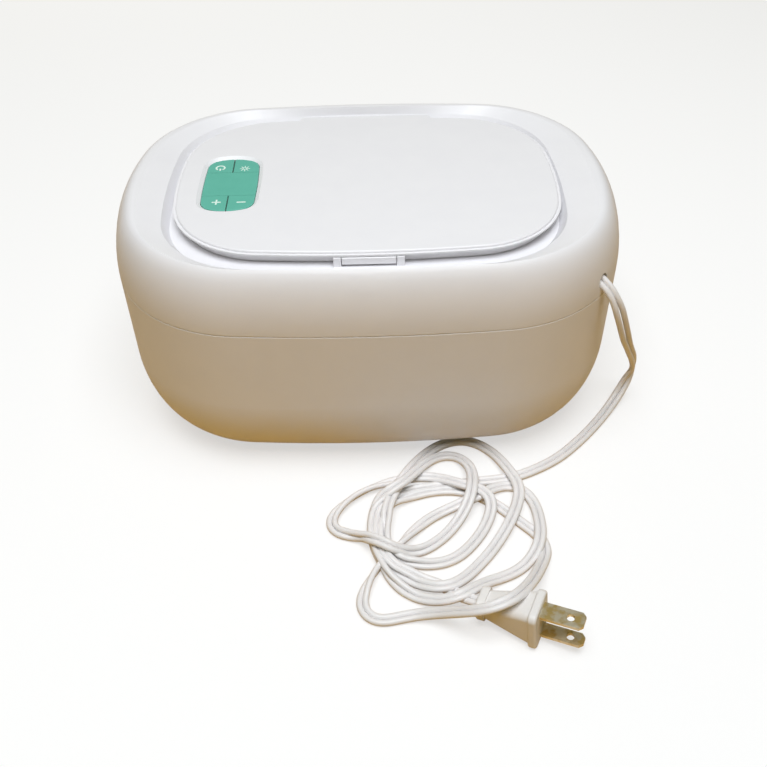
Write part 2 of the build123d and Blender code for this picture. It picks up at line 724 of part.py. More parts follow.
with BuildPart() as lid_inner:
    oval_block(SKIRT_BOTTOM_Z, INNER_TOP_Z, LID, inner_inset, lid_at)
    oval_block(CUP_BOTTOM_Z, INNER_TOP_Z, CUP, 0, lid_at)
    fillet(lid_inner.faces().sort_by(Axis.Z)[0].outer_wire().edges(), 2.0)
    oval_block(CUP_BOTTOM_Z + CUP_WALL, INNER_TOP_Z, CUP, CUP_WALL, lid_at, mode=Mode.SUBTRACT)
    # Groove for the gasket
    extrude(
        oval_face(SKIRT_BOTTOM_Z, MOUTH, -GASKET_OUT[1], lid_at)
        - oval_face(SKIRT_BOTTOM_Z, MOUTH, -GASKET_OUT[0], lid_at),
        amount=gasket_z[1] - SKIRT_BOTTOM_Z,
        mode=Mode.SUBTRACT,
    )
    # Countersunk holes for the screws
    with BuildSketch(Plane.XY.offset(SKIRT_BOTTOM_Z)):
        with Locations(*lid_screws):
            Circle(LID_SCREW_HEAD_R + SNUG)
    extrude(amount=LID_SCREW_HEAD, mode=Mode.SUBTRACT)
    with BuildSketch(Plane.XY.offset(SKIRT_BOTTOM_Z)):
        with Locations(*lid_screws):
            Circle(LID_SCREW_R)
    extrude(amount=INNER_TOP_Z - SKIRT_BOTTOM_Z, mode=Mode.SUBTRACT)
save("lid_inner", lid_inner)

with BuildPart() as lid_gasket:
    oval_ring(*gasket_z, MOUTH, -GASKET_OUT[1], -GASKET_OUT[0], lid_at)
save("lid_gasket", lid_gasket)

for number, (x, y) in enumerate(lid_screws, start=1):
    with BuildPart() as lid_screw:
        with BuildSketch(Plane.XY.offset(SKIRT_BOTTOM_Z)):
            with Locations((x, y)):
                Circle(LID_SCREW_HEAD_R)
        extrude(amount=LID_SCREW_HEAD)
        with BuildSketch(Plane.XY.offset(SKIRT_BOTTOM_Z)):
            with Locations((x, y)):
                Circle(LID_SCREW_R)
        extrude(amount=LID_UNDER_Z - SKIRT_BOTTOM_Z)
    save(f"lid_screw_{number}", lid_screw)

# ------------------------------------------------------------------ the heater

with BuildPart() as heat_plate:
    oval_block(CUP_BOTTOM_Z - PLATE_THICK, CUP_BOTTOM_Z, CUP, PLATE_IN, lid_at)
    fillet(heat_plate.faces().sort_by(Axis.Z)[0].outer_wire().edges(), 0.6)
save("heat_plate", heat_plate)

film_z = CUP_BOTTOM_Z + CUP_WALL

with BuildPart() as heater_film:
    oval_block(film_z, film_z + FILM_THICK, CUP, FILM_IN, lid_at)
save("heater_film", heater_film)

with BuildPart() as insulation_pad:
    oval_block(film_z + FILM_THICK, film_z + FILM_THICK + FOAM_THICK, CUP, FILM_IN, lid_at)
save("insulation_pad", insulation_pad)

# ------------------------------------------------------- control board and pad

board_top_z = INNER_TOP_Z + BOARD_THICK

with BuildPart() as control_board:
    block(
        (PAD_X - BOARD_WIDTH / 2, PAD_X + BOARD_WIDTH / 2),
        (PAD_Y - BOARD_DEPTH / 2, PAD_Y + BOARD_DEPTH / 2),
        (INNER_TOP_Z, board_top_z),
    )
save("control_board", control_board)

# Keys of the pad: name, side in X and side in Y of the pad's centre
keys = [("power", -1, 1), ("light", 1, 1), ("plus", -1, -1), ("minus", 1, -1)]
band_half = PAD_DEPTH / 2 - KEY_DEPTH
key_reach = KEY_DEPTH + KEY_FLANGE

for name, across, along in keys:
    with BuildPart() as tact_switch:
        with Locations(
            (
                PAD_X + across * SWITCH_X,
                PAD_Y + along * SWITCH_Y,
                board_top_z + SWITCH_HEIGHT / 2,
            )
        ):
            Box(SWITCH_SIZE, SWITCH_SIZE, SWITCH_HEIGHT)
    save("switch_" + name, tact_switch)

    with BuildPart() as key:
        for outset, height in ((0, PAD_THICK), (KEY_FLANGE, KEY_FLANGE_THICK)):
            with BuildSketch(Plane.XY.offset(PAD_UNDER_Z)) as outline:
                with BuildLine():
                    oval(PAD, -outset, pad_at, turned=True)
                make_face()
                corner = (
                    PAD_X + across * (KEY_SLIT / 2 + PAD_WIDTH / 2),
                    PAD_Y + along * (band_half + SNUG + key_reach / 2),
                )
                with Locations(corner):
                    Rectangle(PAD_WIDTH, key_reach, mode=Mode.INTERSECT)
            extrude(amount=height)
        rim = key.faces().sort_by(Axis.Z)[-1].outer_wire().edges()
        fillet(rim.filter_by(GeomType.CIRCLE), PAD_EDGE_ROUND)
    save("key_" + name, key)

with BuildPart() as pad_centre:
    for outset, height in ((0, PAD_THICK), (PAD_FLANGE, LID_UNDER_Z - PAD_UNDER_Z)):
        with BuildSketch(Plane.XY.offset(PAD_UNDER_Z)):
            with BuildLine():
                oval(PAD, -outset, pad_at, turned=True)
            make_face()
            with Locations(pad_at):
                Rectangle(2 * PAD_WIDTH, 2 * band_half, mode=Mode.INTERSECT)
        extrude(amount=height)
    rim = pad_centre.faces().sort_by(Axis.Z)[-1].outer_wire().edges()
    fillet(rim.filter_by(GeomType.CIRCLE), PAD_EDGE_ROUND)
save("pad_centre", pad_centre)

# ------------------------------------------------- cord clamp and its terminal

lead_start = Plane(
    origin=LEAD_ROUTE[0], z_dir=Vector(*LEAD_ROUTE[1]) - Vector(*LEAD_ROUTE[0])
)

with BuildPart() as cord_clamp:
    with BuildSketch(clamp_frame.offset(CLAMP_RISE[0])):
        with Locations((CLAMP_LENGTH / 2, 0)):
            Rectangle(CLAMP_LENGTH, CLAMP_WIDTH)
        with Locations(*clamp_screws):
            Circle(CLAMP_SCREW_R, mode=Mode.SUBTRACT)
    extrude(amount=CLAMP_RISE[1] - CLAMP_RISE[0])
    with BuildSketch(lead_start):
        Circle(CORD_R)
    extrude(amount=2 * CLAMP_LENGTH, both=True, mode=Mode.SUBTRACT)
save("cord_clamp", cord_clamp)

for side, spot in zip(("front", "rear"), clamp_screws):
    with BuildPart() as clamp_screw:
        with BuildSketch(clamp_frame.offset(CLAMP_RISE[0] - CLAMP_SCREW_HEAD)):
            with Locations(spot):
                Circle(CLAMP_SCREW_HEAD_R)
        extrude(amount=CLAMP_SCREW_HEAD)
        with BuildSketch(clamp_frame.offset(CLAMP_RISE[0])):
            with Locations(spot):
                Circle(CLAMP_SCREW_R)
        extrude(amount=CLAMP_SCREW_LENGTH)
    save("clamp_screw_" + side, clamp_screw)

terminal_at = outlet_centre + outlet_dir * TERMINAL_AT
terminal_at.Z = FLOOR_UNDER_Z - TERMINAL_SIZE[2]

with BuildPart() as terminal_block:
    with BuildSketch(
        Plane(
            origin=terminal_at,
            x_dir=outlet_dir,
            z_dir=(0, 0, 1),
        )
    ):
        Rectangle(*TERMINAL_SIZE[:2])
    extrude(amount=TERMINAL_SIZE[2])
save("terminal_block", terminal_block)

# -------------------------------------------------------------------- the cord


def bend_radii(route):
    """Largest bend at each inner point that leaves the runs room to be straight."""
    points = [Vector(*point) for point in route]
    runs = [b - a for a, b in zip(points, points[1:])]
    radii = []
    for before, after in zip(runs, runs[1:]):
        half_turn = math.radians(before.get_angle(after)) / 2
        shorter = min(before.length, after.length)
        radii.append(round(BEND_SHARE * shorter / math.tan(half_turn), 2))
    return radii


lead_radii = bend_radii(LEAD_ROUTE)
print("lead bends", lead_radii)

with BuildPart() as cord_lead:
    with BuildLine() as lead_path:
        FilletPolyline(*LEAD_ROUTE, radius=lead_radii)
    with BuildSketch(lead_start):
        Circle(CORD_R)
    sweep(path=lead_path.wires()[0])
print("lead length", round(lead_path.wires()[0].length, 1))
print(
    "lead volume share",
    cord_lead.part.volume / (math.pi * CORD_R**2 * lead_path.wires()[0].length),
)

# ------------------------------------------------------------------- the plug

turn = math.radians(PLUG_TURN)
tilt = math.radians(PLUG_TILT)
plug_ahead = Vector(
    math.cos(tilt) * math.cos(turn), math.cos(tilt) * math.sin(turn), math.sin(tilt)
)
plug_side = Vector(-math.sin(turn), math.cos(turn), 0)
# X across the body, Y down its tall way, Z out of the face
plug_face = Plane(origin=PLUG_FACE, x_dir=plug_side, z_dir=plug_ahead)
plug_axis = Axis(PLUG_FACE, plug_ahead)
neck_end = FLANGE_THICK + NECK_LENGTH
plug_end = neck_end + COLLAR_LENGTH

blades = [("wide", BLADE_WIDE, 1), ("narrow", BLADE_NARROW, -1)]
# The wide blade is the upper one, whichever way the plane's Y points
upward = 1 if plug_face.y_dir.Z > 0 else -1

with BuildPart() as plug_body:
    with BuildSketch(plug_face.offset(-FLANGE_THICK)):
        RectangleRounded(FLANGE_DEEP, FLANGE_TALL, FLANGE_CORNER_R)
    extrude(amount=FLANGE_THICK)
    fillet(plug_body.faces().sort_by(plug_axis)[-1].edges(), FLANGE_ROUND)
    fillet(plug_body.faces().sort_by(plug_axis)[0].edges(), FLANGE_ROUND)
    with BuildSketch(plug_face.offset(-FLANGE_THICK)):
        RectangleRounded(BODY_DEEP, BODY_TALL, FLANGE_CORNER_R)
    with BuildSketch(plug_face.offset(-neck_end)):
        RectangleRounded(NECK_DEEP, NECK_TALL, FLANGE_CORNER_R)
    loft()
    with BuildSketch(plug_face.offset(-plug_end)):
        RectangleRounded(
            NECK_DEEP + 2 * COLLAR_OVER, NECK_TALL + 2 * COLLAR_OVER, FLANGE_CORNER_R
        )
    extrude(amount=COLLAR_LENGTH)
    fillet(plug_body.faces().sort_by(plug_axis)[0].edges(), FLANGE_ROUND)
    for _, width, side in blades:
        with BuildSketch(plug_face.offset(-BLADE_SUNK)):
            with Locations((0, side * upward * BLADE_SPACING / 2)):
                Rectangle(width, BLADE_THICK)
        extrude(amount=BLADE_SUNK, mode=Mode.SUBTRACT)
save("plug_body", plug_body)
print("plug underside", round(plug_body.part.bounding_box().min.Z, 2))

for name, width, side in blades:
    hole_at = (
        Vector(*PLUG_FACE)
        + plug_ahead * BLADE_HOLE_AT
        + plug_face.y_dir * (side * upward * BLADE_SPACING / 2)
    )
    with BuildPart() as blade:
        with BuildSketch(plug_face.offset(-BLADE_SUNK)):
            with Locations((0, side * upward * BLADE_SPACING / 2)):
                Rectangle(width, BLADE_THICK)
        extrude(amount=BLADE_SUNK + BLADE_LENGTH)
        tip = blade.faces().sort_by(plug_axis)[-1].edges().sort_by(SortBy.LENGTH)[:2]
        chamfer(tip, BLADE_TIP)
        with BuildSketch(Plane(origin=hole_at, z_dir=plug_face.y_dir)):
            Circle(BLADE_HOLE_R)
        extrude(amount=BLADE_THICK, both=True, mode=Mode.SUBTRACT)
    save("blade_" + name, blade)

# --------------------------------------------------------- loops of the cord

with BuildPart() as cord_loops:
    for outline, low, high in (
        (LOOPS_LOW, 0, LOOPS_LOW_TOP_Z),
        (LOOPS_HIGH, LOOPS_LOW_TOP_Z, LOOPS_TOP_Z),
    ):
        with BuildSketch(Plane.XY.offset(low)) as turns:
            with BuildLine():
                Polyline(*outline, close=True)
            make_face()
            fillet(turns.vertices(), LOOPS_CORNER_R)
        extrude(amount=high - low)
    # The loops stop at the plug's end, and the lead runs into their side
    with BuildSketch(plug_face.offset(-plug_end)):
        Rectangle(FLANGE_DEEP + LOOPS_CORNER_R, 4 * FLANGE_TALL)
    extrude(amount=3 * plug_end, mode=Mode.SUBTRACT)
    add(cord_lead.part, mode=Mode.SUBTRACT)
save("cord_lead", cord_lead)
save("cord_loops", cord_loops)
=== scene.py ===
import math

import bmesh
import bpy
from mathutils import Matrix, Vector


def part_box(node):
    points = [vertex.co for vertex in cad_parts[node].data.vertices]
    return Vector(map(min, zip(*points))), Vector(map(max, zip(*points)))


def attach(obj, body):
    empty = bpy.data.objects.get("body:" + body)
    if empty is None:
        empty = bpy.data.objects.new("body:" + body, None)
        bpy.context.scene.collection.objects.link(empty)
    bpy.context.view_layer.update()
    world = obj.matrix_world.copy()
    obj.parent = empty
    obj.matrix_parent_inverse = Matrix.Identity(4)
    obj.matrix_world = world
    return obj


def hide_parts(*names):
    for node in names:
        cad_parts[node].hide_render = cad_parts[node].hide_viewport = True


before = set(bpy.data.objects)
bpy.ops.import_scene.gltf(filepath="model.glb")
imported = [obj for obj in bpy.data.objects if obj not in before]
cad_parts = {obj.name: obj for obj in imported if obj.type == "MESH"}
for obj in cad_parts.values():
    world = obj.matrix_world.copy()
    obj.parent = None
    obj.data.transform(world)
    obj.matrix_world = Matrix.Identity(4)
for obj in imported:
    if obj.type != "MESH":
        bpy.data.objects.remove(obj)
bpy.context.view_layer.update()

# ---------------------------------------------------------------- camera
# A camera looking down on the warmer's front from above the edge of the
# table, with a lens a little shorter than normal. Lengths are in metres.

view_depth = Vector((-0.01287, -0.73717, 0.67559))
view_right = Vector((0.99985, -0.01745, 0.0))
view_up = view_depth.cross(view_right)
tilt = math.radians(-0.8)
tilted_right = math.cos(tilt) * view_right + math.sin(tilt) * view_up
tilted_up = math.cos(tilt) * view_up - math.sin(tilt) * view_right
camera_lens = bpy.data.cameras.new("table_camera")
camera_lens.lens = 42.24
camera_lens.sensor_width = 36.0
camera_lens.clip_start = 0.01
camera = bpy.data.objects.new("table_camera", camera_lens)
bpy.context.scene.collection.objects.link(camera)
camera.matrix_world = Matrix.Translation((-0.00014, -0.38023, 0.32897)) @ Matrix(
    (tilted_right, tilted_up, view_depth)
).transposed().to_4x4()
bpy.context.scene.camera = camera

# ----------------------------------------------------------- case: base tub
# The lower half of the case, one injection moulding in white ABS with a satin
# finish from a lightly spark-eroded tool. The wipe tray drops into it.


def linear(code):
    """An sRGB hex colour as the linear values that the shaders take."""
    parts = [int(code[i : i + 2], 16) / 255 for i in (1, 3, 5)]
    return (*[p / 12.92 if p < 0.04045 else ((p + 0.055) / 1.055) ** 2.4 for p in parts], 1.0)


def add(tree, kind, settings=None, links=None):
    """Add a node, set its properties and sockets, and link sockets to others' outputs."""
    made = tree.nodes.new(kind)
    for key, value in (settings or {}).items():
        if isinstance(key, str) and hasattr(made, key):
            setattr(made, key, value)
        else:
            made.inputs[key].default_value = value
    for key, source in (links or {}).items():
        tree.links.new(source, made.inputs[key])
    return made


def moulded(name, light, shade, rough, grain, depth, flow=14.0, ior=1.53, coat=0.0):
    """A moulded plastic: two close shades that drift with the flow of the melt, and
    the fine grain of the tool, with grain, depth and flow in millimetres."""
    material = bpy.data.materials.new(name)
    material.use_nodes = True
    tree = material.node_tree
    shader = tree.nodes["Principled BSDF"]
    shader.inputs["IOR"].default_value = ior
    shader.inputs["Coat Weight"].default_value = coat
    shader.inputs["Coat Roughness"].default_value = 0.25
    place = add(tree, "ShaderNodeTexCoord").outputs["Object"]
    drift = add(
        tree,
        "ShaderNodeTexNoise",
        {"Scale": 1000 / flow, "Detail": 3.0, "Roughness": 0.55},
        {"Vector": place},
    )
    tint = add(
        tree,
        "ShaderNodeMix",
        {"data_type": "RGBA", 6: linear(light), 7: linear(shade)},
        {0: drift.outputs["Fac"]},
    )
    skin = add(
        tree,
        "ShaderNodeTexNoise",
        {"Scale": 1000 / grain, "Detail": 2.0, "Roughness": 0.5},
        {"Vector": place},
    )
    gloss = add(
        tree,
        "ShaderNodeMapRange",
        {"From Min": 0.25, "From Max": 0.75, "To Min": rough - 0.05, "To Max": rough + 0.06},
        {"Value": skin.outputs["Fac"]},
    )
    wave = add(
        tree,
        "ShaderNodeMath",
        {"operation": "MULTIPLY_ADD", 1: 0.8},
        {0: drift.outputs["Fac"], 2: skin.outputs["Fac"]},
    )
    bump = add(
        tree,
        "ShaderNodeBump",
        {"Strength": 1.0, "Distance": depth / 1000},
        {"Height": wave.outputs["Value"]},
    )
    tree.links.new(tint.outputs[2], shader.inputs["Base Color"])
    tree.links.new(gloss.outputs["Result"], shader.inputs["Roughness"])
    tree.links.new(bump.outputs["Normal"], shader.inputs["Normal"])
    return material


def dress(material, slot, *names):
    """Give CAD nodes their material. The slot argument is not used."""
    for name in names:
        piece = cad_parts[name]
        piece.data.materials.clear()
        piece.data.materials.append(material)


# Satin ABS: soft wide highlights over a clean white that is a touch cool.
# The tool's grain is 0.3 mm, and drawn at 0.9 mm so that it can be seen.
white_abs = moulded("white_abs_satin_moulded", "#EBEAED", "#E6E5E9", 0.40, 0.9, 0.006)
dress(white_abs, "case_white", "base_tub")

# ---------------------------------------------------------- case: four feet
# Round rubber feet pressed into the underside, so that the warmer stays put.
# They are moulded, matt and slightly dusty.

foot_rubber = moulded("grey_rubber_moulded_foot", "#C9C8C4", "#B9B8B3", 0.80, 0.7, 0.02)
dress(
    foot_rubber,
    "foot_rubber",
    "foot_front_left",
    "foot_front_right",
    "foot_rear_left",
    "foot_rear_right",
)

# ---------------------------------------------------------------- wipe tray
# The liner that holds the stack of wipes, a thin moulding in white
# polypropylene: waxier and a little glossier than the case round it.

tray_white = moulded("white_polypropylene_moulded", "#E9E8E6", "#E0DFDC", 0.34, 1.2, 0.008)
dress(tray_white, "tray_white", "wipe_tray", "tray_floor")

# ---------------------------------------------------------- case: top cover
# The upper ring of the case in the same ABS as the tub, with the shallow
# well round the lid, the hinge's posts at the back and the latch's two ears.

dress(white_abs, "case_white", "top_cover")

# ------------------------------------------------------------- lid: hinge pin
# A ground steel pin through the lid's knuckle and the cover's two posts.



def finish(tree, shades, share, rough, marks, depth):
    """Join to the shader a mix of two shades, and a roughness between two limits and
    dents that both follow the marks, with the dents' depth in millimetres."""
    shader = tree.nodes["Principled BSDF"]
    tone = add(
        tree,
        "ShaderNodeMix",
        {"data_type": "RGBA", 6: linear(shades[0]), 7: linear(shades[1])},
        {0: share},
    )
    gloss = add(
        tree,
        "ShaderNodeMapRange",
        {"To Min": rough[0], "To Max": rough[1]},
        {"Value": marks},
    )
    dent = add(
        tree,
        "ShaderNodeBump",
        {"Strength": 1.0, "Distance": depth / 1000},
        {"Height": marks},
    )
    tree.links.new(tone.outputs[2], shader.inputs["Base Color"])
    tree.links.new(gloss.outputs[0], shader.inputs["Roughness"])
    tree.links.new(dent.outputs[0], shader.inputs["Normal"])


pin_steel = bpy.data.materials.new("steel_ground_pin")
pin_steel.use_nodes = True
tree = pin_steel.node_tree
shader = tree.nodes["Principled BSDF"]
shader.inputs["Metallic"].default_value = 1.0
place = add(tree, "ShaderNodeTexCoord").outputs["Object"]
# Grinding runs round the pin, so its marks are bands 0.15 mm apart along X.
bands = add(tree, "ShaderNodeMapping", {"Scale": (6600.0, 300.0, 300.0)}, {"Vector": place})
marks = add(tree, "ShaderNodeTexNoise", {"Scale": 1.0, "Detail": 3.0}, {"Vector": bands.outputs[0]})
marks = marks.outputs["Fac"]
finish(tree, ("#A9A9AB", "#C6C6C8"), marks, (0.22, 0.42), marks, 0.004)
dress(pin_steel, "steel", "hinge_pin")

# ------------------------------------------------------------- lid: its shell
# The oval lid with its thin lip, moulded in the same white ABS and left bare.
# The push panel of the latch hangs in its front edge and gives at a press.

dress(white_abs, "case_white", "lid_shell")
dress(white_abs, "case_white", "latch_button")

# ----------------------------------------------- lid: what lies on its inside
# Under the shell are the warmer's works: a white pan screwed to the shell, a
# heat plate on its film and foam, a soft seal, and the board with its switches.

pan_white = moulded("white_polypropylene_pan", "#E4E4E2", "#DADAD8", 0.42, 1.0, 0.008)
dress(pan_white, "tray_white", "lid_inner")
seal_rubber = moulded("grey_silicone_seal", "#D7D8D9", "#CBCCCE", 0.62, 0.8, 0.01, ior=1.41)
dress(seal_rubber, "gasket_rubber", "lid_gasket")
foam_white = moulded("white_foam_sheet", "#D9D7CF", "#BFBDB4", 0.92, 0.8, 0.12, flow=2.5)
dress(foam_white, "foam", "insulation_pad")
film_amber = moulded("amber_polyimide_film", "#B5721F", "#9C5D14", 0.24, 1.6, 0.004, ior=1.7)
dress(film_amber, "film_amber", "heater_film")
board_green = moulded("green_epoxy_glass_board", "#1F5E3C", "#2B7049", 0.36, 0.5, 0.01, flow=3.0)
dress(board_green, "board_green", "control_board")
switch_black = moulded("black_nylon_switch", "#1C1C1E", "#262628", 0.48, 0.4, 0.01)
dress(
    switch_black,
    "switch_black",
    "switch_power",
    "switch_light",
    "switch_minus",
    "switch_plus",
)

# The heat plate is rolled aluminium sheet: fine straight marks along its length.
plate_metal = bpy.data.materials.new("aluminium_rolled_sheet")
plate_metal.use_nodes = True
tree = plate_metal.node_tree
shader = tree.nodes["Principled BSDF"]
shader.inputs["Metallic"].default_value = 1.0
place = add(tree, "ShaderNodeTexCoord").outputs["Object"]
drawn = add(tree, "ShaderNodeMapping", {"Scale": (60.0, 2500.0, 2500.0)}, {"Vector": place})
marks = add(tree, "ShaderNodeTexNoise", {"Scale": 1.0, "Detail": 4.0}, {"Vector": drawn.outputs[0]})
marks = marks.outputs["Fac"]
finish(tree, ("#BFC1C3", "#D6D8DA"), marks, (0.28, 0.5), marks, 0.005)
dress(plate_metal, "plate_metal", "heat_plate")

# Zinc-plated screws, slightly mottled where the plating took unevenly.
screw_steel = bpy.data.materials.new("steel_zinc_plated_screw")
screw_steel.use_nodes = True
tree = screw_steel.node_tree
shader = tree.nodes["Principled BSDF"]
shader.inputs["Metallic"].default_value = 1.0
place = add(tree, "ShaderNodeTexCoord").outputs["Object"]
mottle = add(tree, "ShaderNodeTexNoise", {"Scale": 1400.0, "Detail": 3.0}, {"Vector": place})
mottle = mottle.outputs["Fac"]
finish(tree, ("#A6ABB0", "#C9CCCE"), mottle, (0.25, 0.45), mottle, 0.004)
dress(
    screw_steel,
    "steel",
    "lid_screw_1",
    "lid_screw_2",
    "lid_screw_3",
    "lid_screw_4",
    "clamp_screw_front",
    "clamp_screw_rear",
)

# ------------------------------------------------------------- lid: its keys
# Four keys and the band between them, moulded in soft teal silicone that
# drags a little at a fingertip: matt, with a pale bloom where light skims it.

pad_teal = moulded(
    "teal_silicone_moulded", "#63B5A3", "#59AC9A", 0.55, 0.9, 0.008, flow=6.0, ior=1.43
)
pad_teal.node_tree.nodes["Principled BSDF"].inputs["Sheen Weight"].default_value = 0.15
dress(pad_teal, "pad_teal", "key_power", "key_light", "key_plus", "key_minus", "pad_centre")

# The signs are printed on the keys in pale mint ink, a little proud of them.
ink_mint = moulded("mint_ink_printed", "#E3F4EC", "#D2EBE0", 0.50, 0.5, 0.004, flow=1.5)
key_top_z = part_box("key_power")[1][2]
ink_depth = 0.00006
stroke = 0.0008


def deselect():
    """Leave nothing selected, out of edit mode."""
    if bpy.context.object and bpy.context.object.mode != "OBJECT":
        bpy.ops.object.mode_set(mode="OBJECT")
    bpy.ops.object.select_all(action="DESELECT")


def bar(x, y, long, wide, turn=0.0):
    """A printed stroke with rounded ends, on the keys' top."""
    deselect()
    bpy.ops.mesh.primitive_plane_add(size=1.0, location=(0, 0, 0))
    made = bpy.context.object
    bpy.ops.object.mode_set(mode="EDIT")
    bpy.ops.transform.resize(value=(long, wide, 1))
    bpy.ops.mesh.bevel(offset=wide * 0.45, segments=4, affect="VERTICES")
    bpy.ops.object.mode_set(mode="OBJECT")
    made.data.transform(Matrix.Translation((x, y, key_top_z)) @ Matrix.Rotation(turn, 4, "Z"))
    return made


def printed(name, body, strokes):
    """Join strokes into one sign, give it the ink's thickness and lay it on its key."""
    deselect()
    for made in strokes:
        made.select_set(True)
    bpy.context.view_layer.objects.active = strokes[0]
    bpy.ops.object.join()
    sign = bpy.context.object
    sign.name = name
    sign.data.name = name
    thick = sign.modifiers.new("ink", "SOLIDIFY")
    thick.thickness = ink_depth
    thick.offset = 1.0
    bpy.ops.object.modifier_apply(modifier=thick.name)
    sign.data.materials.clear()
    sign.data.materials.append(ink_mint)
    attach(sign, body)
    return sign


# Plus on the front left key, minus on the front right one.
plus_at = (-0.0691, -0.0194)
arm = 0.00215 - stroke / 2
printed(
    "sign_plus",
    "key_plus",
    [
        bar(*plus_at, 0.0043, stroke),
        bar(plus_at[0], plus_at[1] + (stroke + arm) / 2, arm, stroke, math.pi / 2),
        bar(plus_at[0], plus_at[1] - (stroke + arm) / 2, arm, stroke, math.pi / 2),
    ],
)
printed("sign_minus", "key_minus", [bar(-0.0577, -0.0197, 0.0042, stroke * 1.1)])

# A lamp with eight rays on the rear right key.
light_at = (-0.0586, 0.0110)
ray_out = 0.00150         # from the lamp's middle to each ray's
rays = []
for turn in range(8):
    angle = turn * math.pi / 4
    reach_x = light_at[0] + ray_out * math.cos(angle)
    reach_y = light_at[1] + ray_out * math.sin(angle)
    rays.append(bar(reach_x, reach_y, 0.0019, stroke * 0.55, angle))
printed("sign_light", "key_light", rays)

# A broken ring with a bar in its gap on the rear left key: on and off.
power_at = (-0.0704, 0.0120)
gap_half = 0.62           # radians, from the bar to each end of the ring
deselect()
bpy.ops.mesh.primitive_circle_add(vertices=64, radius=0.0024, fill_type="NGON", location=(0, 0, 0))
ring = bpy.context.object
bpy.ops.object.mode_set(mode="EDIT")
bpy.ops.mesh.inset(thickness=stroke)
bpy.ops.mesh.delete(type="FACE")
bpy.ops.object.mode_set(mode="OBJECT")
shape = bmesh.new()
shape.from_mesh(ring.data)
gap = [
    face
    for face in shape.faces
    if abs(math.atan2(face.calc_center_median().x, -face.calc_center_median().y)) < gap_half
]
bmesh.ops.delete(shape, geom=gap, context="FACES")
shape.to_mesh(ring.data)
shape.free()
ring.data.transform(Matrix.Translation((*power_at, key_top_z)))
printed(
    "sign_power",
    "key_power",
    [ring, bar(power_at[0], power_at[1] - 0.0016, 0.0021, stroke, math.pi / 2)],
)

# -------------------------------------------------- cord: clamp and terminals
# Nylon pieces inside the case that grip the lead and take its two wires.

nylon_white = moulded("white_nylon_moulded", "#DFDDD6", "#D4D2CA", 0.50, 0.8, 0.01)
dress(nylon_white, "inner_plastic", "cord_clamp", "terminal_block")

# ---------------------------------------------------------- cord: its length
# A flat twin lead of 5.6 by 2.8 mm in white PVC, two wires side by side with a
# groove between them. It hangs from the case, is heaped in loose turns that
# were once tied at the waist, and ends in its plug: 1.4 m, the whole cord.

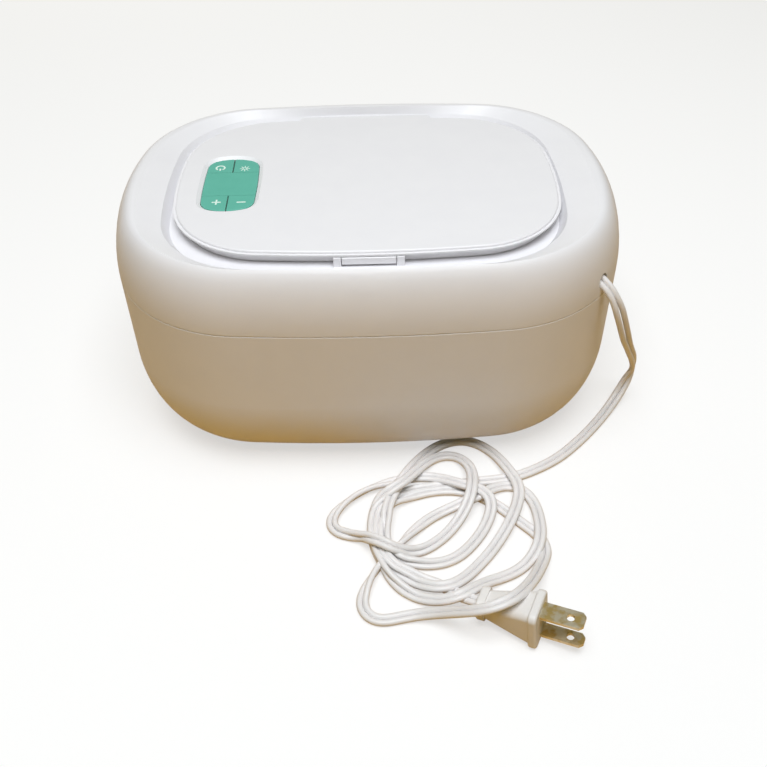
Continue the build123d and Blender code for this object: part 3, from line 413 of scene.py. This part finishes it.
lead_radius = 0.0014      # half the thickness of the lead, and of each wire's cover
lead_half = 0.00138       # from the lead's middle to the middle of each wire
lead_points = [
    # The hanging lead
    (97.4, -52.9, 94.8), (104.3, -58.4, 91.4), (109.6, -61.9, 84.2), (113.9, -61.6, 73.8),
    (119.3, -57.0, 59.0), (125.6, -49.2, 44.2), (131.4, -41.4, 31.6), (134.0, -37.0, 22.4),
    (132.6, -36.6, 13.2), (128.2, -40.6, 5.8), (121.6, -48.2, 2.1), (113.8, -57.6, 1.4),
    (103.6, -68.8, 1.4), (90.5, -80.8, 1.4), (77.0, -88.4, 1.4), (66.6, -92.4, 1.4),
    # Along the table to the waist of the heap
    (58.4, -93.6, 1.4), (49.6, -94.3, 1.4), (41.3, -95.5, 1.4), (33.6, -96.5, 1.4),
    (25.9, -97.2, 1.4), (18.1, -98.5, 1.4), (11.8, -100.9, 1.6), (6.0, -105.5, 2.2),
    (1.9, -111.3, 2.8), (0.1, -117.8, 2.8), (-0.5, -125.2, 2.8), (0.7, -132.5, 2.8),
    # The outer turn, and back to the waist
    (3.6, -140.6, 4.0), (8.3, -145.7, 2.4), (14.2, -149.8, 1.6), (20.9, -153.6, 2.6),
    (27.2, -155.8, 4.3), (33.3, -154.2, 4.0), (39.0, -149.6, 2.6), (44.9, -143.2, 1.6),
    (50.6, -136.7, 1.6), (55.7, -130.1, 2.6), (60.4, -123.1, 4.0), (64.7, -114.5, 4.3),
    (68.0, -105.3, 4.4), (67.9, -97.7, 4.6), (65.0, -89.4, 3.6), (61.4, -80.4, 2.2),
    (56.8, -73.6, 1.6), (50.8, -68.7, 1.5), (43.9, -66.7, 1.5), (36.5, -68.0, 1.5),
    (29.0, -72.2, 1.5), (21.5, -79.9, 1.8), (15.7, -89.2, 3.6), (11.0, -98.6, 5.4),
    (7.4, -107.0, 6.8), (5.3, -114.0, 6.6), (4.7, -119.4, 4.6), (4.7, -126.0, 3.6),
    (5.6, -132.2, 3.6),
    # The left loop and the inner turns
    (8.5, -138.8, 4.2), (15.1, -141.3, 2.0), (22.5, -142.2, 1.4), (30.1, -141.2, 1.4),
    (37.1, -137.7, 1.4), (43.5, -131.3, 1.4), (48.8, -124.2, 1.8), (52.4, -117.7, 3.4),
    (54.0, -111.9, 5.2), (52.9, -107.1, 6.4), (49.6, -103.3, 6.4), (45.0, -100.4, 5.4),
    (40.0, -98.0, 4.8), (34.6, -94.3, 3.4), (28.6, -91.3, 2.0), (21.5, -90.2, 1.4),
    (14.2, -91.4, 1.4), (6.8, -93.7, 1.4), (-0.4, -96.6, 1.4), (-7.2, -100.4, 1.4),
    (-13.1, -105.2, 1.4), (-17.4, -109.7, 1.4), (-20.1, -114.4, 1.5), (-20.2, -119.0, 1.6),
    (-17.3, -122.8, 1.8), (-12.2, -125.1, 2.2), (-6.8, -127.5, 4.4), (-2.3, -131.2, 7.6),
    (2.1, -134.0, 8.6), (6.4, -136.3, 8.2), (11.1, -136.5, 5.4), (16.2, -135.6, 2.6),
    (22.2, -133.7, 1.5), (28.8, -128.8, 1.4), (35.2, -122.4, 2.0), (40.5, -115.5, 4.4),
    (43.6, -110.2, 7.6), (45.6, -103.5, 8.6), (46.9, -94.4, 6.4), (45.9, -84.9, 3.4),
    (41.6, -78.5, 1.8), (35.6, -76.8, 1.5), (29.0, -78.7, 1.5), (22.7, -85.4, 3.4),
    (17.4, -93.9, 6.6), (12.3, -100.7, 9.2), (7.3, -104.0, 8.6), (2.3, -106.1, 5.6),
    (-1.1, -110.6, 3.2), (-2.6, -117.7, 2.8), (-2.8, -125.1, 2.8), (-1.5, -132.5, 2.8),
    (0.6, -139.0, 3.4),
    # The right side, the low sweep in front, over the plug, and back
    (3.3, -145.4, 4.0), (6.4, -150.0, 2.2), (10.5, -154.5, 1.5), (15.9, -158.2, 1.4),
    (22.2, -161.1, 2.6), (28.7, -163.0, 5.4), (34.5, -162.7, 7.8), (40.4, -158.9, 6.8),
    (47.2, -153.4, 3.4), (53.8, -150.1, 1.4), (59.6, -147.7, 1.4), (64.9, -144.1, 1.4),
    (69.3, -139.4, 2.2), (72.6, -134.3, 4.0), (74.6, -127.2, 4.2), (75.3, -117.6, 2.6),
    (74.6, -109.0, 1.6), (72.0, -102.6, 1.4), (67.8, -98.6, 1.4), (62.2, -97.4, 1.4),
    (56.1, -99.8, 2.4), (50.2, -104.7, 4.4), (42.8, -108.4, 4.4), (35.7, -110.6, 2.4),
    (28.5, -113.7, 1.4), (22.2, -118.3, 1.4), (16.4, -124.1, 1.4), (11.6, -130.2, 1.4),
    (6.4, -136.4, 1.4), (1.6, -142.1, 1.4), (-2.5, -148.3, 1.4), (-5.4, -154.4, 1.4),
    (-6.8, -160.2, 1.4), (-5.7, -165.2, 1.4), (-2.2, -168.7, 1.4), (2.8, -169.7, 1.4),
    (9.1, -168.5, 1.4), (16.3, -167.8, 2.4), (23.3, -169.0, 5.0), (29.5, -171.8, 9.5),
    (35.5, -175.1, 14.8), (41.5, -177.4, 19.2), (46.9, -177.3, 21.4), (52.3, -175.3, 22.0),
    (57.5, -171.0, 20.2), (62.6, -163.8, 15.6), (67.5, -155.0, 9.6), (71.7, -146.2, 4.8),
    (74.5, -139.9, 2.2), (75.7, -135.5, 1.4), (74.7, -129.6, 1.4), (71.1, -124.6, 1.4),
    (66.4, -119.5, 1.4), (61.7, -114.4, 1.4), (57.0, -109.2, 1.4), (51.8, -105.3, 1.4),
    (46.4, -102.2, 1.4), (40.5, -99.9, 1.4), (34.1, -99.2, 1.4), (27.6, -99.6, 1.4),
    (21.3, -101.1, 1.4), (15.1, -103.3, 1.4), (9.5, -106.8, 1.8), (5.1, -111.7, 2.4),
    (2.5, -118.1, 2.8), (1.8, -125.3, 2.8), (2.9, -132.3, 2.8),
    # The last run to the plug
    (5.6, -140.0, 4.2), (9.7, -143.7, 2.4), (14.8, -147.2, 1.6), (20.5, -150.2, 1.4),
    (26.2, -152.4, 1.4), (30.9, -155.3, 2.0), (35.5, -160.8, 4.2),
    # Straight into the plug's neck
    (39.6, -164.5, 7.2), (42.3, -165.9, 7.6),
]
curve = bpy.data.curves.new("lead_route", "CURVE")
curve.dimensions = "3D"
curve.resolution_u = 6
spline = curve.splines.new("NURBS")
spline.points.add(len(lead_points) - 1)
for spot, (x, y, z) in zip(spline.points, lead_points):
    spot.co = (x / 1000, y / 1000, z / 1000, 1.0)
spline.order_u = 3
spline.use_endpoint_u = True
lead_route = bpy.data.objects.new("lead_route", curve)
bpy.context.scene.collection.objects.link(lead_route)
bpy.context.view_layer.update()
line = bpy.data.meshes.new_from_object(lead_route)
lead_path = [vertex.co.copy() for vertex in line.vertices]
bpy.data.objects.remove(lead_route)
bpy.data.meshes.remove(line)

# The flat of the lead faces up where it lies, and out where it hangs. At the
# waist of the heap the strands stand on edge, pressed side by side.
waist = Vector((0.0008, -0.1215, 0.0))
waist_reach = (0.010, 0.024)
hang_starts, hang_ends = 0.006, 0.045
parted = (0.016, 0.062, 0.0005)   # the wires part a little in the upper hang
turn_rate = 0.18                  # how fast the lead turns about its own length


def eased(value, low, high):
    """0 below low and 1 above high, with a smooth step between them."""
    share = min(max((value - low) / (high - low), 0.0), 1.0)
    return share * share * (3 - 2 * share)


runs = [0.0]
for last, here in zip(lead_path, lead_path[1:]):
    runs.append(runs[-1] + (here - last).length)
sides = []
for index, here in enumerate(lead_path):
    ahead = lead_path[min(index + 1, len(lead_path) - 1)] - lead_path[max(index - 1, 0)]
    ahead.normalize()
    hanging = eased(here.z, hang_starts, hang_ends) if runs[index] < 0.15 else 0.0
    facing = Vector((0, 0, 1)).lerp(Vector((0.25, -0.75, 0.6)).normalized(), hanging)
    side = facing.cross(ahead).normalized()
    away = Vector((here.x - waist.x, (here.y - waist.y) * 0.6, 0)).length
    edge = (1 - eased(away, *waist_reach)) * (1 - eased(here.z, 0.0044, 0.0062))
    side = Matrix.Rotation(edge * math.pi / 2, 3, ahead) @ side
    if sides:
        before = sides[-1] - sides[-1].dot(ahead) * ahead
        before.normalize()
        if side.dot(before) < 0:
            side = -side
        side = before.lerp(side, turn_rate).normalized()
    sides.append(side)
# Neither wire sinks into the table where the lead stands on edge.
for here, side in zip(lead_path, sides):
    here.z = max(here.z, lead_radius + lead_half * abs(side.z))

shape = bmesh.new()
turned_by = [math.radians(30 * k) for k in range(12)]
along = shape.loops.layers.uv.new("along_lead")
for wire in (-1, 1):
    rings = []
    for index, here in enumerate(lead_path):
        ahead = lead_path[min(index + 1, len(lead_path) - 1)] - lead_path[max(index - 1, 0)]
        ahead.normalize()
        side = (sides[index] - sides[index].dot(ahead) * ahead).normalized()
        rise = ahead.cross(side)
        apart = eased(runs[index], parted[0], parted[0] + 0.012) * (
            1 - eased(runs[index], parted[1] - 0.016, parted[1])
        )
        middle = here + wire * (lead_half + apart * parted[2]) * side
        rings.append(
            [
                shape.verts.new(
                    middle + lead_radius * (math.cos(a) * side + math.sin(a) * rise)
                )
                for a in turned_by
            ]
        )
    for index, (near, far) in enumerate(zip(rings, rings[1:])):
        for k in range(12):
            face = shape.faces.new((near[k], near[(k + 1) % 12], far[(k + 1) % 12], far[k]))
            face.smooth = True
            for loop, spot in zip(
                face.loops, ((index, k), (index, k + 1), (index + 1, k + 1), (index + 1, k))
            ):
                loop[along].uv = (runs[spot[0]] * 1000, spot[1] / 12)
    shape.faces.new(list(reversed(rings[0])))
    shape.faces.new(rings[-1])
mesh = bpy.data.meshes.new("lead")
shape.to_mesh(mesh)
shape.free()
lead = bpy.data.objects.new("lead", mesh)
bpy.context.scene.collection.objects.link(lead)

# PVC as it leaves the extruder: smooth, with long faint draw marks and a soft
# shine, and slightly uneven along its length from being wound and unwound.
lead_pvc = bpy.data.materials.new("white_pvc_extruded")
lead_pvc.use_nodes = True
tree = lead_pvc.node_tree
shader = tree.nodes["Principled BSDF"]
shader.inputs["IOR"].default_value = 1.53
shader.inputs["Subsurface Weight"].default_value = 0.08
shader.inputs["Subsurface Radius"].default_value = (0.0012, 0.001, 0.0009)
shader.inputs["Subsurface Scale"].default_value = 1.0
drawn = add(tree, "ShaderNodeUVMap", {"uv_map": "along_lead"})
# 9 draw marks round each wire, each running for about 30 mm.
stretch = add(
    tree, "ShaderNodeMapping", {"Scale": (0.035, 9.0, 1.0)}, {"Vector": drawn.outputs[0]}
)
marks = add(
    tree, "ShaderNodeTexNoise", {"Scale": 1.0, "Detail": 2.0}, {"Vector": stretch.outputs[0]}
)
place = add(tree, "ShaderNodeTexCoord").outputs["Object"]
worn = add(tree, "ShaderNodeTexNoise", {"Scale": 90.0, "Detail": 3.0}, {"Vector": place})
finish(tree, ("#EDEBEC", "#E3E0DF"), worn.outputs["Fac"], (0.32, 0.5), marks.outputs["Fac"], 0.01)
lead.data.materials.append(lead_pvc)
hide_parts("cord_lead", "cord_loops")
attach(lead, "base")

# ------------------------------------------------------------ cord: its plug
# A flat polarised plug moulded onto the lead in white PVC, with a tapering
# neck and a square flange at its face, and two blades of plated brass.

plug_pvc = moulded("white_pvc_moulded_plug", "#EAE8E7", "#E0DDDA", 0.42, 0.9, 0.012)
dress(plug_pvc, "cord_white", "plug_body")

blade_plated = bpy.data.materials.new("brass_nickel_flashed_blade")
blade_plated.use_nodes = True
tree = blade_plated.node_tree
shader = tree.nodes["Principled BSDF"]
shader.inputs["Metallic"].default_value = 1.0
place = add(tree, "ShaderNodeTexCoord").outputs["Object"]
# Stamped strip: marks along the blade, and brass showing where the flash wore off.
turned = add(
    tree,
    "ShaderNodeMapping",
    {"Rotation": (0.0, 0.0, math.radians(26)), "Scale": (250.0, 2600.0, 2600.0)},
    {"Vector": place},
)
marks = add(
    tree, "ShaderNodeTexNoise", {"Scale": 1.0, "Detail": 3.0}, {"Vector": turned.outputs[0]}
)
worn = add(tree, "ShaderNodeTexNoise", {"Scale": 260.0, "Detail": 4.0}, {"Vector": place})
wear = add(
    tree,
    "ShaderNodeMapRange",
    {"From Min": 0.42, "From Max": 0.62},
    {"Value": worn.outputs["Fac"]},
)
finish(tree, ("#E4DCC6", "#D2BA7C"), wear.outputs[0], (0.30, 0.52), marks.outputs["Fac"], 0.008)
dress(blade_plated, "blade_metal", "blade_wide", "blade_narrow")

# ------------------------------------------------------------ table and light
# A pale table, a broad window light high above and a little in front, a weak
# fill from behind, and a dim warm room. The table is nearly white to look at,
# but throws back the ochre light of a wooden one onto the warmer's sides.

bpy.context.scene.view_settings.view_transform = "Standard"

deselect()
bpy.ops.mesh.primitive_grid_add(x_subdivisions=8, y_subdivisions=8, size=9.0, location=(0, 0, 0))
table = bpy.context.object
table.name = "table"
table_top = bpy.data.materials.new("table_top")
table_top.use_nodes = True
tree = table_top.node_tree
shader = tree.nodes["Principled BSDF"]
shader.inputs["Roughness"].default_value = 0.85
# How much of the table's white shows in reflections, and how much of it glows.
mirrored_white = 0.25
table_glow = 0.6
seen = add(tree, "ShaderNodeLightPath")
direct = add(
    tree,
    "ShaderNodeMath",
    {"operation": "MULTIPLY_ADD", 1: mirrored_white},
    {0: seen.outputs["Is Glossy Ray"], 2: seen.outputs["Is Camera Ray"]},
)
cloth = add(
    tree,
    "ShaderNodeMix",
    {"data_type": "RGBA", 6: linear("#C49426"), 7: linear("#FCFCFC")},
    {0: direct.outputs[0]},
)
tree.links.new(cloth.outputs[2], shader.inputs["Base Color"])
bright = add(tree, "ShaderNodeEmission", {"Color": (1, 1, 1, 1), "Strength": 1.0})
share = add(
    tree, "ShaderNodeMath", {"operation": "MULTIPLY", 1: table_glow}, {0: direct.outputs[0]}
)
blend = add(
    tree,
    "ShaderNodeMixShader",
    None,
    {0: share.outputs[0], 1: shader.outputs[0], 2: bright.outputs[0]},
)
tree.links.new(blend.outputs[0], tree.nodes["Material Output"].inputs["Surface"])
table.data.materials.append(table_top)

room = bpy.data.worlds.new("room")
bpy.context.scene.world = room
room.use_nodes = True
tree = room.node_tree
seen = add(tree, "ShaderNodeLightPath")
air = add(tree, "ShaderNodeBackground", {"Color": linear("#F0E08C"), "Strength": 0.12})
wall = add(tree, "ShaderNodeBackground", {"Color": (1, 1, 1, 1), "Strength": 1.0})
either = add(
    tree,
    "ShaderNodeMixShader",
    None,
    {0: seen.outputs["Is Camera Ray"], 1: air.outputs[0], 2: wall.outputs[0]},
)
tree.links.new(either.outputs[0], tree.nodes["World Output"].inputs["Surface"])


def lamp(name, at, aim, wide, high, watts, colour):
    """A soft rectangular lamp at a point, turned to shine on another."""
    data = bpy.data.lights.new(name, "AREA")
    data.shape = "RECTANGLE"
    data.size = wide
    data.size_y = high
    data.energy = watts
    data.color = linear(colour)[:3]
    made = bpy.data.objects.new(name, data)
    bpy.context.scene.collection.objects.link(made)
    made.location = at
    made.rotation_euler = (Vector(aim) - Vector(at)).to_track_quat("-Z", "Y").to_euler()
    return made


lamp("window_light", (0.02, -0.34, 1.22), (0, -0.04, 0.06), 0.9, 0.75, 17.2, "#F3F7FC")
fill = lamp("back_fill", (-0.25, 1.15, 0.27), (0, 0.08, 0.06), 1.0, 0.3, 3.5, "#FFFAF0")
fill.visible_glossy = False
